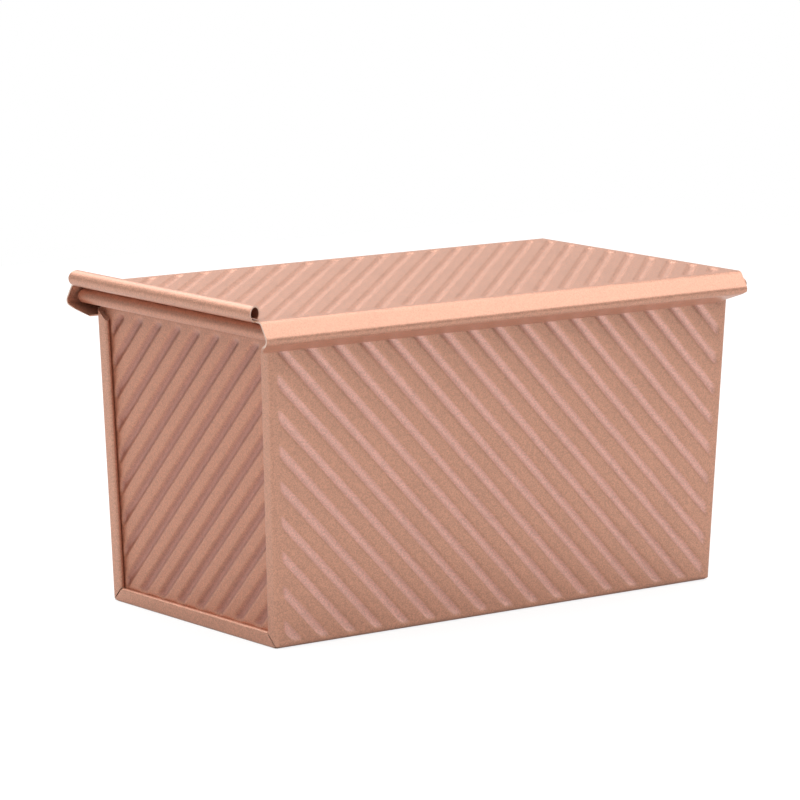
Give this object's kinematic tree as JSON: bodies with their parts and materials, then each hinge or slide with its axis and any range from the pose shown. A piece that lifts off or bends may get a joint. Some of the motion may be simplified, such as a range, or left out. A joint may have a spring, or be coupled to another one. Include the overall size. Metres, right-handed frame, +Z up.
{
  "type": "pullman loaf pan",
  "caption": "Straight-sided corrugated loaf pan of folded coated steel with a rolled rim and lock-seamed ends, and a corrugated lid that slides on the rim by two formed rails.",
  "frame": {"origin": "middle of the underside of the pan's floor", "axes": "+X along the length away from the lid's pull edge, -Y the front wall, +Z up"},
  "size_m": [0.2142, 0.1182, 0.1168],
  "materials": {
    "coated_steel": "metallic non-stick coating, fine sparkle"
  },
  "bodies": {
    "pan": {"pan_wrap": "coated_steel", "left_end_panel": "coated_steel", "right_end_panel": "coated_steel"},
    "lid": {"sliding_lid": "coated_steel"}
  },
  "joints": [
    {"name": "lid_slide", "type": "slide", "parent": "pan", "child": "lid", "axis": [-1, 0, 0], "range_m": [0, 0.21]}
  ]
}
